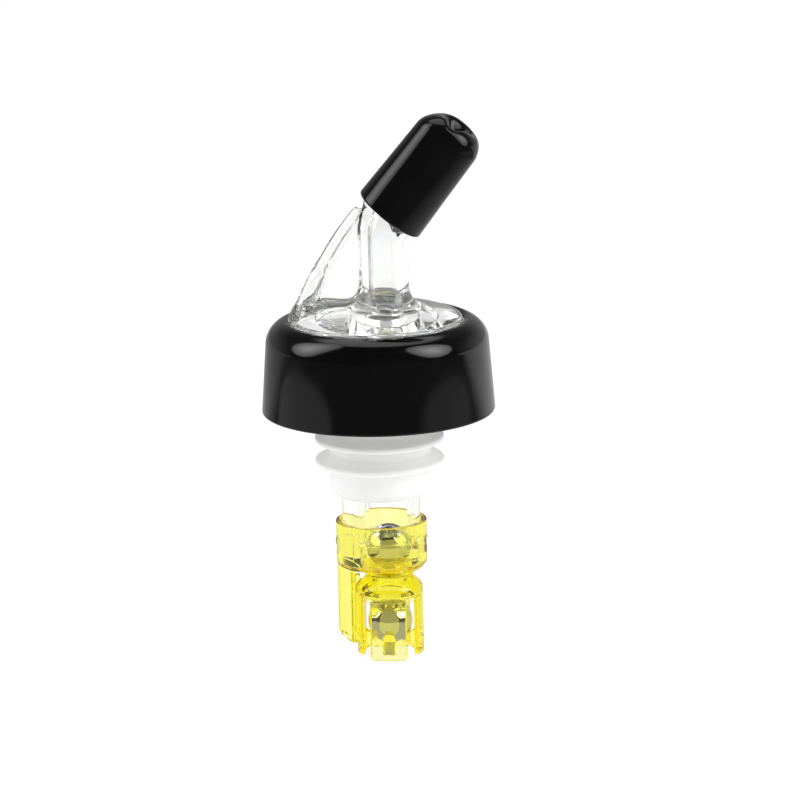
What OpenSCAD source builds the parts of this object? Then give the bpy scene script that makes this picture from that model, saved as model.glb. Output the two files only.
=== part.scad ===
// Measured liquor pourer: a free-pour spout on a bottle cork, with a measuring
// chamber and two steel balls that shut the flow off after one shot.
// The origin lies on the cork's axis, in the plane where the bottle's lip seats.
// +Z points up out of the bottle, and the spout leans towards +X.

/* [Cork] */
// Radius of the plug between its fins
cork_r = 8.9; // [8.7:0.05:9.1]
// Length of the plug below the bottle's lip
cork_len = 21; // [20.5:0.1:21.4]
// Radius of the flange that rests on the bottle's lip
cork_flange_r = 14.4; // [13:0.1:15]
// Thickness of that flange
cork_flange_t = 2.4; // [2.2:0.05:2.4]
// Radius of the sealing fins
fin_r = 11.45; // [10.5:0.05:11.8]
// Number of sealing fins
fin_count = 3; // [2:1:3]
// Distance from one fin to the next
fin_pitch = 4.08; // [3.8:0.01:4.2]
// Height of the lowest fin's lower face above the plug's end
fin_first = 5.48; // [4.5:0.01:5.6]
// Thickness of a fin at its rim
fin_rim_t = 1.05; // [0.9:0.05:1.2]
// Thickness of a fin where it leaves the plug
fin_root_t = 1.9; // [1.4:0.05:2.2]

/* [Collar] */
// Radius of the collar at its lower edge
collar_r = 20.57; // [20.2:0.01:21]
// Radius of the collar just below its shoulder
collar_upper_r = 19.7; // [19.4:0.05:20]
// How far the collar's skirt hangs below the bottle's lip
collar_drop = 6; // [4:0.1:7]
// Height of the collar's top above the bottle's lip
collar_top = 10.6; // [10.3:0.05:10.7]
// Radius of the shoulder's rounding
shoulder_r = 4.3; // [3.5:0.1:4.3]
// Radius of the opening that the spout comes through
collar_open_r = 15.4; // [15.3:0.05:15.5]
// Wall thickness of the skirt
collar_wall = 1.7; // [1.2:0.05:1.9]

/* [Spout] */
// Radius of the spout's base inside the collar
base_r = 17.2; // [17:0.05:17.3]
// Radius of the clear disc that shows in the collar's opening
disc_r = 15.15; // [14.9:0.05:15.2]
// Height of the disc's edge above the bottle's lip
disc_edge_z = 10.8; // [10.6:0.05:11]
// Rise of the dome from the disc's edge to the middle
dome_rise = 2; // [1.6:0.1:2.2]
// Radius of the upright pipe
riser_r = 4.2; // [4:0.05:4.3]
// How far the upright pipe stands off the cork's axis
riser_x = 1.6; // [1.4:0.1:1.8]
// Radius of the rounding at the foot of the upright pipe
riser_foot_r = 4.2; // [3.8:0.1:4.4]
// Height at which that rounding starts
riser_foot_z = 17.3; // [16.8:0.1:17.6]
// Lean of the nozzle from upright, in degrees
lean = 38.4; // [37.6:0.1:39.2]
// Radius of the flow bore
flow_r = 2.2; // [2:0.05:2.3]
// Nozzle radius at the cap's mouth
nozzle_root_r = 5.15; // [5:0.05:5.2]
// Nozzle radius at its tip
nozzle_tip_r = 4.25; // [4.1:0.05:4.4]
// Length of the nozzle inside the cap
nozzle_len = 17.2; // [15:0.1:17.4]
// Radius of the vent duct that runs up the back of the spout
duct_r = 1.2; // [1.15:0.05:1.25]
// Radius of the air hole in that duct
vent_r = 0.6; // [0.4:0.05:0.7]
// Thickness of the web between the duct and the upright pipe
web_t = 1.8; // [1.4:0.1:2]

/* [Cap] */
// Outer radius of the dust cap at its mouth
cap_mouth_r = 6.44; // [6.3:0.02:6.5]
// Outer radius of the dust cap just below its rounded end
cap_tip_r = 6.03; // [5.9:0.01:6.1]
// Height up the cap at which its rounded end starts
cap_wall_t = 17.4; // [17.1:0.1:17.6]
// Length of the dust cap
cap_len = 21.8; // [21.6:0.1:22.2]
// Gap between the nozzle and the cap
cap_gap = 0.07; // [0.03:0.01:0.09]

/* [Measuring tube] */
// Outer radius of the clear tube
tube_r = 6.95; // [6.9:0.01:6.97]
// Radius of the chamber that the upper ball travels in
chamber_r = 4.35; // [4.2:0.05:4.4]
// How far the chamber stands off the cork's axis
chamber_x = 1.25; // [1.15:0.05:1.35]
// Radius of the air channel beside the chamber
air_r = 0.75; // [0.6:0.05:0.8]
// How far the air channel stands off the cork's axis
air_x = 5.55; // [5.5:0.05:5.6]
// Width of the two inlet windows
window_w = 7.3; // [6.5:0.1:7.6]
// Height of the hoop that ties the walls together under the windows
hoop_t = 0.4; // [0.3:0.05:0.6]

/* [Tail cage] */
// Outer radius of the cup that closes the tube
cup_r = 8.05; // [7.9:0.05:8.2]
// Gap between the cup and the tube
cup_gap = 0.05; // [0.03:0.01:0.08]
// Height of the cup's rim, below the bottle's lip
cup_rim_z = -25.8; // [-26.5:0.1:-25]
// Height of the cup's floor, below the bottle's lip
cup_floor_z = -33.3; // [-33.4:0.1:-33.2]
// Radius of the ports that the balls close
port_r = 2.2; // [2:0.05:2.3]
// Outer radius of the cage legs
leg_r = 5.9; // [5.8:0.05:6]
// Inner radius of the cage legs
leg_inner_r = 4.4; // [4.35:0.05:4.5]
// Height of the lower end of the legs
leg_end_z = -50.6; // [-51:0.1:-50]
// Width of the slots between the legs
slot_w = 2.2; // [1.6:0.1:2.4]
// Radius of the air sleeve
sleeve_r = 1.62; // [1.5:0.02:1.7]
// How far the air sleeve stands off the cork's axis
sleeve_x = 6.3; // [6.2:0.05:6.3]

/* [Balls] */
// Radius of both steel balls, 5/16 inch across
ball_r = 3.97; // [3.9:0.01:3.97]
// Gap that a resting ball keeps to its seat
seat_gap = 0.02; // [0.01:0.01:0.04]

/* [Hidden] */
$fn = 96;
big = 60;
cut = 1;

// Cork: bevel at the plug's end and rounding of a fin's rim
cork_bevel_r = 1;
cork_bevel_z = 1.4;
fin_rim_round = 0.45;

// Tube: its flange lies on the cork's flange, and its spigot enters the spout
flange_r = 9;
flange_t = 1.2;
flange_top = cork_flange_t + flange_t;
spigot_r = 5.6;
spigot_top = 6;
window_top = -20.9;
hoop_top = -28.9;
hoop_depth = 0.5;
cheek_left = -3;
cheek_right = 5.3;

// Snap barbs on the tube and the windows in the cup that they click into
barb_top = -29.1;
barb_low = -31.5;
barb_out = 8.3;
barb_w = 2.6;
barb_slack = 0.1;

// Seat cones are at 45 degrees, so a ball stands this far from a port's edge
seat_reach = (ball_r + seat_gap) * sqrt(2) - port_r;

// Tail cage heights, from the cup down
cup_base_z = -33.9;
cup_corner_r = 0.8;
upper_port_z = -34.14;
neck_r = 4.1;
neck_z = -35.7;
neck_low_z = -36;
shoulder_low_z = neck_low_z - (leg_r - neck_r);
lower_port_z = -37;
leg_top_z = -40;
side_leg_z = -49.95;
side_leg_y = 3.55;
flat_y = 5.32;
leg_bevel = 0.9;
leg_corner_x = 3.35;
cone_r = 6.75;
rib_w = 1.6;
rib_x = -5.6;
rib_len = 12;
rib_low = 0.4;
sleeve_low_z = -48.4;
sleeve_slant_z = -46.2;
sleeve_slant = 41;

// Lugs on the inside of the legs, with a ramp that the tail ball rests on
lug_top_z = -45.9;
lug_low_z = -49.64;
lug_w = 2.05;
lug_slope = 50;
lug_tip_r = 2.3;
lug_tip_z = lug_top_z - (leg_inner_r - lug_tip_r) / tan(lug_slope);

// Ball positions, with the pourer upright
measuring_ball_z = upper_port_z + seat_reach;
tail_ball_z = lug_top_z + (ball_r + seat_gap - leg_inner_r * cos(lug_slope)) / sin(lug_slope);

// Spout: sockets, outlet seat, hollow ring and the frame of the nozzle
socket_gap = 0.05;
base_top = 8;
throat_z = 7.2;
ring_in_r = 9.7;
ring_out_r = 13.6;
ring_top = 7.2;
mouth = [2.55, 0, 29.14];
aim = [sin(lean), 0, cos(lean)];
elbow_t = (riser_x - mouth[0]) / aim[0];
elbow_z = mouth[2] + elbow_t * aim[2];
nozzle_flare = 2.2;
elbow_swell = 0.25;
bore_swell = 0.2;

// Vent duct: an arc along the spout's back, with a flat end under the cap
duct_arc_r = 67.2;
duct_centre = [48.56, -13.73];
duct_end_t = -2.5;
duct_angle_top = 138;
duct_angle_foot = 160;
vent_angle_foot = 156.6;
vent_foot_x = -12.9;
vent_rise = 7;
air_slot_h = 2.6;

// Cap: rounded corner, sloping end and the three grooves pinched into it
cap_corner_r = 2.2;
cap_end_slope = 31;
cap_end_gap = 0.4;
pinch_count = 3;
pinch_r = 2.6;
pinch_out = 5.24;
pinch_tilt = 42;
pinch_first = 30;

// Places a child in the nozzle's frame, Z along its axis from the cap's mouth
module at_nozzle() {
    translate(mouth) rotate([0, lean, 0]) children();
}

// Points of a circular arc, from angle a to angle b
function arc(centre, r, a, b, n) =
    [for (i = [0:n]) centre + r * [cos(a + (b - a) * i / n), sin(a + (b - a) * i / n)]];

// A ring section with a straight wall, from z0 up to z1
module ring(z0, z1, r_out, r_in) {
    difference() {
        translate([0, 0, z0]) cylinder(r = r_out, h = z1 - z0);
        translate([0, 0, z0 - cut]) cylinder(r = r_in, h = z1 - z0 + 2 * cut);
    }
}

// One fin's section: thick at the root, thin and round at the rim
module fin_section(low) {
    mid = low + fin_rim_t / 2;
    round_x = fin_r - fin_rim_round;
    polygon(concat(
        [[tube_r + cup_gap + cut, low], [round_x, low]],
        arc([round_x, mid], fin_rim_round, -75, 75, 6),
        [[round_x, low + fin_rim_t], [cork_r, low + fin_root_t],
            [tube_r + cup_gap + cut, low + fin_root_t]]
    ));
}

module cork() {
    bore = tube_r + cup_gap;
    color("whitesmoke") difference() {
        rotate_extrude() {
            polygon([[0, -cork_len], [cork_r - cork_bevel_r, -cork_len],
                [cork_r, cork_bevel_z - cork_len], [cork_r, 0], [cork_flange_r, 0],
                [cork_flange_r, cork_flange_t], [0, cork_flange_t]]);
            for (i = [0:fin_count - 1]) fin_section(fin_first - cork_len + i * fin_pitch);
        }
        translate([0, 0, -cork_len - cut]) cylinder(r = bore, h = big);
    }
}

module collar() {
    pocket_r = base_r + 0.15;
    bead_r = base_r - 0.25;
    lip_low = base_top + socket_gap;
    inner_low = collar_r - collar_wall;
    top_edge_r = 0.5;
    shoulder = [collar_upper_r - shoulder_r, collar_top - shoulder_r];
    color("black") rotate_extrude() polygon(concat(
        [[inner_low, -collar_drop], [collar_r - 0.4, -collar_drop],
            [collar_r, 0.4 - collar_drop]],
        arc(shoulder, shoulder_r, 4, 88, 14),
        arc([collar_open_r + top_edge_r, collar_top - top_edge_r], top_edge_r, 100, 180, 5),
        [[collar_open_r, lip_low], [pocket_r, lip_low], [pocket_r, 2.2],
            [bead_r, 1.9], [bead_r, 1.6], [pocket_r + 0.3, 0.9]]
    ));
}

module barb() {
    rotate([90, 0, 0]) translate([0, 0, -barb_w / 2]) linear_extrude(barb_w)
        polygon([[tube_r - 0.5, barb_low], [tube_r, barb_low], [barb_out, barb_low + 1.2],
            [barb_out, barb_top], [tube_r - 0.5, barb_top]]);
}

module measuring_tube() {
    window_low = hoop_top - hoop_t;
    color("ghostwhite") difference() {
        union() {
            translate([0, 0, cup_floor_z]) cylinder(r = tube_r, h = flange_top - cup_floor_z);
            translate([0, 0, cork_flange_t]) cylinder(r = flange_r, h = flange_t);
            translate([chamber_x, 0, flange_top - cut])
                cylinder(r = spigot_r, h = spigot_top - flange_top + cut);
            barb();
            rotate([0, 0, 180]) barb();
        }
        translate([chamber_x, 0, cup_floor_z - cut]) cylinder(r = chamber_r, h = big);
        translate([-air_x, 0, cup_floor_z - cut]) cylinder(r = air_r, h = big);
        // Inlet windows, front and back, above the hoop
        translate([chamber_x - window_w / 2, -big / 2, hoop_top])
            cube([window_w, big, window_top - hoop_top]);
        // Open notches below the hoop leave two cheeks that stand on the cup's floor
        translate([cheek_left, -big / 2, cup_floor_z - cut])
            cube([cheek_right - cheek_left, big, window_low - cup_floor_z + cut]);
        // The hoop is a thin band at the tube's surface
        intersection() {
            translate([0, 0, window_low - cut]) cylinder(r = tube_r - hoop_depth, h = hoop_t + 2 * cut);
            translate([chamber_x - window_w / 2, -big / 2, window_low - cut])
                cube([window_w, big, hoop_t + 2 * cut]);
        }
    }
}

module cage_outside() {
    inner = cup_r - cup_corner_r;
    // The cup, with its rounded lower corner
    rotate_extrude() polygon(concat(
        [[0, cup_base_z]],
        arc([inner, cup_base_z + cup_corner_r], cup_corner_r, -90, 0, 6),
        [[cup_r, cup_rim_z], [0, cup_rim_z]]
    ));
    // Cone under the cup, neck, shoulder and legs
    translate([chamber_x, 0, 0]) rotate_extrude() polygon([[0, cup_base_z + 0.5],
        [cone_r, cup_base_z + 0.5], [cone_r, cup_base_z], [neck_r, neck_z], [neck_r, neck_low_z],
        [leg_r, shoulder_low_z], [leg_r, leg_end_z], [0, leg_end_z]]);
    // Air sleeve, joined to the left leg by a rib
    translate([-sleeve_x, 0, sleeve_low_z])
        cylinder(r = sleeve_r, h = cup_base_z + 0.3 - sleeve_low_z);
    translate([rib_x, -rib_w / 2, sleeve_low_z + rib_low]) cube([rib_w, rib_w, rib_len]);
}

module lugs() {
    intersection() {
        translate([chamber_x, 0, 0]) rotate_extrude() polygon([[leg_inner_r + 0.3, lug_top_z],
            [leg_inner_r, lug_top_z], [lug_tip_r, lug_tip_z], [leg_inner_r, lug_low_z],
            [leg_inner_r + 0.3, lug_low_z]]);
        for (a = [0:90:270]) translate([chamber_x, 0, 0]) rotate([0, 0, a])
            rotate([90, 0, 90]) linear_extrude(leg_inner_r + 0.3) union() {
                translate([0, lug_top_z - lug_w / 2]) circle(r = lug_w / 2);
                translate([-lug_w / 2, lug_low_z - cut])
                    square([lug_w, lug_top_z - lug_w / 2 - lug_low_z + cut]);
            }
    }
}

module tail_cage() {
    color("yellow") {
        difference() {
            cage_outside();
            translate([0, 0, cup_floor_z]) cylinder(r = tube_r + cup_gap, h = big);
            // Upper port with its seat, lower port with its seat, and the ball's cage
            translate([chamber_x, 0, 0]) rotate_extrude() polygon([[0, cup_floor_z + cut],
                [port_r + cup_floor_z + cut - upper_port_z, cup_floor_z + cut],
                [port_r, upper_port_z], [port_r, lower_port_z],
                [leg_inner_r, lower_port_z - (leg_inner_r - port_r)],
                [leg_inner_r, leg_end_z - cut], [0, leg_end_z - cut]]);
            // Slots between the legs
            for (a = [45:90:315]) translate([chamber_x, 0, leg_end_z - cut]) rotate([0, 0, a])
                translate([0, -slot_w / 2, 0]) cube([leg_r + cut, slot_w, leg_top_z - leg_end_z + cut]);
            // Flat face on the front leg and on the back leg
            for (side = [-1, 1]) translate([chamber_x, side * (flat_y + cut), (leg_top_z + leg_end_z) / 2])
                cube([2 * leg_r, 2 * cut, leg_top_z - leg_end_z], center = true);
            // Bevelled lower corners of those two legs
            for (side = [-1, 1]) for (end = [-1, 1])
                translate([chamber_x + end * leg_corner_x, side * flat_y, leg_end_z]) rotate([0, 45, 0])
                    cube([leg_bevel, leg_r / 2, leg_bevel], center = true);
            // The legs at the sides are a little shorter
            for (end = [-1, 1]) translate([chamber_x + end * leg_r, 0, side_leg_z - cut])
                cube([leg_r, 2 * side_leg_y, 2 * cut], center = true);
            // Windows that the tube's barbs click into
            translate([-cup_r - cut, -barb_w / 2 - barb_slack, barb_low - barb_slack])
                cube([2 * (cup_r + cut), barb_w + 2 * barb_slack, barb_top - barb_low + 2 * barb_slack]);
            // Air hole in the sleeve, and the pocket that leads to it from the tube
            translate([-sleeve_x, 0, sleeve_low_z - cut])
                cylinder(r = air_r, h = cup_floor_z - sleeve_low_z + 2 * cut);
            translate([-air_x, 0, cup_base_z]) cylinder(r = air_r, h = 2 * cut);
            translate([-sleeve_x, -air_r, cup_base_z]) cube([sleeve_x - air_x, 2 * air_r, 2 * cut]);
            // Slanted end of the sleeve
            translate([-sleeve_x - sleeve_r, 0, sleeve_slant_z]) rotate([0, sleeve_slant, 0])
                translate([-4, -4, -8]) cube(8);
        }
        lugs();
    }
}

module measuring_ball() {
    color("silver") translate([chamber_x, 0, measuring_ball_z]) sphere(r = ball_r);
}

module tail_ball() {
    color("silver") translate([chamber_x, 0, tail_ball_z]) sphere(r = ball_r);
}

function dome_z(r) = disc_edge_z + dome_rise * (1 - pow(r / disc_r, 3.5));

module base_outside() {
    steps = 8;
    edge_round = 0.3;
    rotate_extrude() polygon(concat(
        [[0, cork_flange_t], [base_r, cork_flange_t], [base_r, base_top], [disc_r, base_top],
            [disc_r, disc_edge_z - edge_round]],
        [for (i = [0:steps]) let (r = (disc_r - edge_round) * (1 - i / steps)) [r, dome_z(r)]]
    ));
}

module riser() {
    foot = [riser_r + riser_foot_r, riser_foot_z];
    foot_turn = 65;
    foot_end = foot + riser_foot_r * [cos(180 + foot_turn), sin(180 + foot_turn)];
    skirt = 3.4;
    translate([riser_x, 0, 0]) rotate_extrude() polygon(concat(
        [[0, base_top], [foot_end[0] + skirt, base_top],
            foot_end + skirt * [1, -cos(foot_turn) / sin(foot_turn)]],
        arc(foot, riser_foot_r, 180 + foot_turn, 180, 8),
        [[riser_r, elbow_z], [0, elbow_z]]
    ));
    translate([riser_x, 0, elbow_z]) sphere(r = riser_r + elbow_swell);
}

module nozzle() {
    at_nozzle() translate([0, 0, -nozzle_flare])
        cylinder(r1 = riser_r + 0.1, r2 = nozzle_root_r, h = nozzle_flare);
    at_nozzle() cylinder(r1 = nozzle_root_r, r2 = nozzle_tip_r, h = nozzle_len);
}

// A pipe along the duct's arc, between two angles seen from the arc's centre
module duct_arc(r, a, b) {
    translate([duct_centre[0], 0, duct_centre[1]]) rotate([90, 0, 0]) rotate([0, 0, a])
        rotate_extrude(angle = b - a, $fn = 720) translate([duct_arc_r, 0]) circle(r = r, $fn = 48);
}

module web_and_duct() {
    difference() {
        intersection() {
            // The duct's foot ends at the disc's edge, and the rest stands inside it
            translate([0, 0, base_top]) cylinder(r = disc_r - 0.1, h = big);
            union() {
                duct_arc(duct_r, duct_angle_top, duct_angle_foot);
                rotate([90, 0, 0]) translate([0, 0, -web_t / 2]) linear_extrude(web_t)
                    polygon(concat(
                        arc(duct_centre, duct_arc_r, duct_angle_top, duct_angle_foot, 20),
                        [[riser_x, base_top + 1], [riser_x, elbow_z]]
                    ));
            }
        }
        // The flat end under the cap's mouth
        at_nozzle() translate([-big / 2, -big / 2, duct_end_t]) cube([big, big, big]);
    }
}

module spout() {
    color("lightcyan", 0.5) difference() {
        union() {
            base_outside();
            riser();
            nozzle();
            web_and_duct();
        }
        // Sockets for the tube's flange and spigot, and the outlet seat
        translate([0, 0, cork_flange_t - cut]) cylinder(r = flange_r + 0.1, h = flange_t + socket_gap + cut);
        translate([chamber_x, 0, cork_flange_t])
            cylinder(r = spigot_r + socket_gap, h = spigot_top + socket_gap - cork_flange_t);
        translate([chamber_x, 0, 0]) rotate_extrude() polygon([[0, spigot_top],
            [flow_r + throat_z - spigot_top, spigot_top], [flow_r, throat_z], [flow_r, throat_z + 2],
            [0, throat_z + 2]]);
        // Flow bore, up the pipe and along the nozzle
        translate([riser_x, 0, throat_z + 1]) cylinder(r = flow_r, h = elbow_z - throat_z - 1);
        translate([riser_x, 0, elbow_z]) sphere(r = flow_r + bore_swell);
        translate([riser_x, 0, elbow_z]) rotate([0, lean, 0]) cylinder(r = flow_r, h = big);
        // Hollow ring in the base, which air crosses to reach the duct
        ring(cork_flange_t - cut, ring_top, ring_out_r, ring_in_r);
        translate([-ring_in_r - cut, -air_r, cork_flange_t])
            cube([ring_in_r + cut - air_x + air_r, 2 * air_r, air_slot_h]);
        // Air hole: up from the ring, along the arc, and out of the duct's flat end
        translate([vent_foot_x, 0, ring_top - cut]) cylinder(r = vent_r, h = vent_rise, $fn = 48);
        duct_arc(vent_r, duct_angle_top - 1, vent_angle_foot);
    }
}

// The cap's outside: nearly straight wall, round corner and a sloping end
module cap_outside() {
    corner = [cap_tip_r - cap_corner_r, cap_wall_t];
    slope_start = corner + cap_corner_r * [sin(cap_end_slope), cos(cap_end_slope)];
    tip_flat = slope_start[0] - (cap_len - slope_start[1]) / tan(cap_end_slope);
    rotate_extrude() polygon(concat(
        [[0, 0], [cap_mouth_r, 0]],
        arc(corner, cap_corner_r, 0, 90 - cap_end_slope, 8),
        [[tip_flat, cap_len], [0, cap_len]]
    ));
}

module spout_cap() {
    bore_end = nozzle_len + cap_end_gap;
    color("black") at_nozzle() difference() {
        cap_outside();
        for (i = [0:pinch_count - 1]) rotate([0, 0, pinch_first + i * 360 / pinch_count])
            translate([pinch_out, 0, cap_len]) rotate([0, -pinch_tilt, 0])
                cylinder(r = pinch_r, h = 20, center = true);
        translate([0, 0, -0.001]) cylinder(r1 = nozzle_root_r + cap_gap,
            r2 = nozzle_tip_r + cap_gap, h = bore_end);
    }
}

spout();
collar();
cork();
measuring_tube();
tail_cage();
measuring_ball();
tail_ball();
spout_cap();
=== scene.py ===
# %% [markdown]
# # A measured pourer, dressed for the photograph
# The pourer is pushed into the neck of a spirit bottle. It has eight pieces: a clear spout, a
# black collar, a soft white cork, a clear measuring tube, a yellow tail cage, two steel balls
# and a black dust cap. The construction model gives their places and sizes. Here each one is
# built again as the moulding it really is, with its rounded edges, and gets its own finish.

# %% Load the construction model
import math
import bpy
import numpy as np
from mathutils import Matrix, Quaternion, Vector


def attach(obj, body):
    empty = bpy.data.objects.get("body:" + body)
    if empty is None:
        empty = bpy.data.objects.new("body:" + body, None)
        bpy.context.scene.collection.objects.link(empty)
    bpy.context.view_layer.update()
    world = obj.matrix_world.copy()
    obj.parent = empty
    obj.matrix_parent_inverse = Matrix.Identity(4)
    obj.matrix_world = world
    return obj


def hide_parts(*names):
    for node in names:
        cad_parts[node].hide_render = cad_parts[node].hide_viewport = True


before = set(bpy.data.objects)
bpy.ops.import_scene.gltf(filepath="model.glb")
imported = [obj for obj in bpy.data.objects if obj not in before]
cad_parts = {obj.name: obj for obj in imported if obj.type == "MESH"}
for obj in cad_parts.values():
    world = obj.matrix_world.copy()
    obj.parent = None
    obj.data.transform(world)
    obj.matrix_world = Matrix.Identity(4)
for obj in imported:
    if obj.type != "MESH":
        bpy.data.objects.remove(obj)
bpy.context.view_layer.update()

MM = 0.001

# %% [markdown]
# ## Shapes as distance fields
# A clear moulding shows every edge twice, from outside and through itself, so its fillets
# have to be real. Booleans and bevels on a dense mesh break where many edges meet. A distance
# field doesn't: it is a function that says how far a point is from the surface, in millimetres,
# negative inside. Two fields joined with a round corner give a fillet of exactly that radius.

# %% Joining, keeping and cutting with round edges
def join(a, b, r=0.12):
    return np.maximum(r, np.minimum(a, b)) - np.hypot(np.maximum(r - a, 0), np.maximum(r - b, 0))


def keep(a, b, r=0.12):
    return -join(-a, -b, r)


def cut(a, b, r=0.12):
    return -join(-a, b, r)


def between(v, low, high):
    return np.maximum(low - v, v - high)


print("a 1 mm fillet fills a square corner by", round(-float(join(0.0, 0.0, 1.0)), 3), "mm")

# %% [markdown]
# ## From a field to a mesh
# The field is read on a grid. Every grid cell that the surface crosses gets one vertex, at the
# mean of the points where its edges are crossed, and every grid edge that the surface crosses
# gets one quad between the four cells around it.

# %% Vertices and quads of the grid
def grid_vertices(value, cells):
    at = np.argwhere(cells)
    total, hits = np.zeros(at.shape), np.zeros(len(at))
    for axis in range(3):
        one, two = [a for a in range(3) if a != axis]
        for i, j in ((0, 0), (0, 1), (1, 0), (1, 1)):
            a = at.copy()
            a[:, one] += i
            a[:, two] += j
            b = a.copy()
            b[:, axis] += 1
            va, vb = value[tuple(a.T)], value[tuple(b.T)]
            crosses = (va < 0) != (vb < 0)
            point = a[crosses].astype(float)
            point[:, axis] += va[crosses] / (va[crosses] - vb[crosses])
            total[crosses] += point
            hits[crosses] += 1
    return total / hits[:, None]


def grid_quads(inside, number):
    quads = []
    for axis in range(3):
        one, two = [a for a in range(3) if a != axis]
        low = np.take(inside, range(inside.shape[axis] - 1), axis)
        high = np.take(inside, range(1, inside.shape[axis]), axis)
        edge = np.argwhere(low != high)
        near = [(0, 0), (-1, 0), (-1, -1), (0, -1)]
        corner = []
        for i, j in near:
            cell = edge.copy()
            cell[:, one] += i
            cell[:, two] += j
            corner.append(number[tuple(cell.T)])
        face = np.stack(corner, 1)
        turn = low[tuple(edge.T)] == (axis == 1)
        face[turn] = face[turn][:, ::-1]
        quads.append(face)
    return np.concatenate(quads)


one_cell = np.ones((2, 2, 2))
one_cell[0, 0, 0] = -1
vertex = grid_vertices(one_cell, np.ones((1, 1, 1), bool))[0]
print("with one corner inside, the cell's vertex is at", vertex.round(3))

# %% [markdown]
# Then each vertex is moved along the field's slope until it lies on the surface, and the slope
# itself becomes the vertex normal, so that clear plastic bends light as the true shape would.
# A ball of one millimetre shows how true the result is.

# %% Slope of a field, and the skin of its surface
SETTLE_TURNS = 4


def slope_of(field, p, eps=0.01):
    out = np.empty_like(p)
    for axis in range(3):
        step = np.zeros(3)
        step[axis] = eps
        out[:, axis] = (field(*(p + step).T) - field(*(p - step).T)) / (2 * eps)
    return out


def skin(field, low, high, step):
    axes = [np.arange(a - 2 * step, b + 3 * step, step) for a, b in zip(low, high)]
    shape = [len(a) for a in axes]
    value = field(*np.meshgrid(*axes, indexing="ij", sparse=True))
    value = np.broadcast_to(value, shape)
    inside = value < 0
    ends = (slice(None, -1), slice(1, None))
    count = sum(inside[i, j, k].astype(np.int8) for i in ends for j in ends for k in ends)
    cells = (count > 0) & (count < 8)
    number = np.full(cells.shape, -1)
    number[cells] = np.arange(cells.sum())
    points = grid_vertices(value, cells) * step + [a[0] for a in axes]
    for _ in range(SETTLE_TURNS):
        slope = slope_of(field, points)
        length2 = np.maximum((slope ** 2).sum(1), 0.1)
        move = np.clip(field(*points.T) / length2, -0.4 * step, 0.4 * step)
        points -= slope * move[:, None]
    normals = slope_of(field, points)
    normals /= np.maximum(np.linalg.norm(normals, axis=1), 1e-6)[:, None]
    return points, grid_quads(inside, number), normals


def test_ball(x, y, z):
    return np.sqrt(x * x + y * y + z * z) - 1


points, quads, normals = skin(test_ball, (-1, -1, -1), (1, 1, 1), 0.25)
off_by = float(np.abs(test_ball(*points.T)).max())
print("test ball:", len(quads), "faces, off by", round(off_by, 6), "mm at most")

# %% [markdown]
# ## Pieces
# Every piece rides on a body of the construction model and replaces the plain solid of one node.
# `place` turns a field that was made upright.

# %% Turn points in millimetres into a piece of the model
def piece(name, points, faces, body, node, normals=None):
    mesh = bpy.data.meshes.new(name)
    mesh.from_pydata((np.asarray(points) * MM).tolist(), [], np.asarray(faces).tolist())
    mesh.shade_smooth()
    if normals is not None:
        mesh.normals_split_custom_set_from_vertices(normals.tolist())
    obj = bpy.data.objects.new(name, mesh)
    bpy.context.scene.collection.objects.link(obj)
    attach(obj, body)
    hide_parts(node)
    size = np.ptp(np.asarray(points), axis=0)
    print(f"{name}: {len(mesh.polygons)} faces, {size[0]:.2f} x {size[1]:.2f} x {size[2]:.2f} mm")
    return obj


def moulding(name, field, low, high, step, body, node, place=None):
    points, faces, normals = skin(field, low, high, step)
    if place is not None:
        points, normals = place(points), place(normals, True)
    return piece(name, points, faces, body, node, normals)


# %% [markdown]
# ## The nozzle's own directions
# The spout's pipe rises beside the middle of the disc and bends to a nozzle that leans 38.4
# degrees. Cap, nozzle, web and duct are all measured from the cap's mouth, along that lean:
# `along` runs out of the nozzle and `side` runs across it, both in the plane of the bend.

# %% Nozzle frame, and the centre line of the bent pipe
LEAN = math.radians(38.4)
MOUTH = (2.55, 29.14)
PIPE_X = 1.6
BEND_R = 8.0
BEND_Z = MOUTH[1] + (PIPE_X - MOUTH[0]) / math.tan(LEAN) - BEND_R * math.tan(LEAN / 2)
BEND_END = (PIPE_X - MOUTH[0]) / math.sin(LEAN) + BEND_R * math.tan(LEAN / 2)


def nozzle_frame(x, z):
    dx, dz = x - MOUTH[0], z - MOUTH[1]
    return dx * math.cos(LEAN) - dz * math.sin(LEAN), dx * math.sin(LEAN) + dz * math.cos(LEAN)


def centre_line(x, y, z):
    side, along = nozzle_frame(x, z)
    right = PIPE_X + BEND_R - x
    turn = np.arctan2(z - BEND_Z, np.maximum(right, 1e-6))
    across = np.where(turn < 0, x - PIPE_X, np.where(
        turn > LEAN, side, BEND_R - np.hypot(right, z - BEND_Z)))
    travel = np.where(turn < 0, z - BEND_Z, np.where(
        turn > LEAN, BEND_R * LEAN + along - BEND_END, BEND_R * turn))
    return np.hypot(across, y), travel


TIP_TRAVEL = BEND_R * LEAN - BEND_END
print("the bend starts at", round(BEND_Z, 2), "mm and ends", round(BEND_END, 2), "mm up the nozzle")

# %% [markdown]
# ## The clear spout
# On the real pourer this is one injection moulding of clear styrene: a domed disc on a hollow
# base, the bent pipe, and an air duct that runs up the back on a thin web. The moulder rounds
# every inside corner so that the melt can flow, most of all at the foot of the pipe, where the
# fillet is nearly as large as the pipe's own radius. The pipe is widest at the cap's mouth, and
# its nozzle tapers by a millimetre, so that the cap wedges on it.

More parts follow.
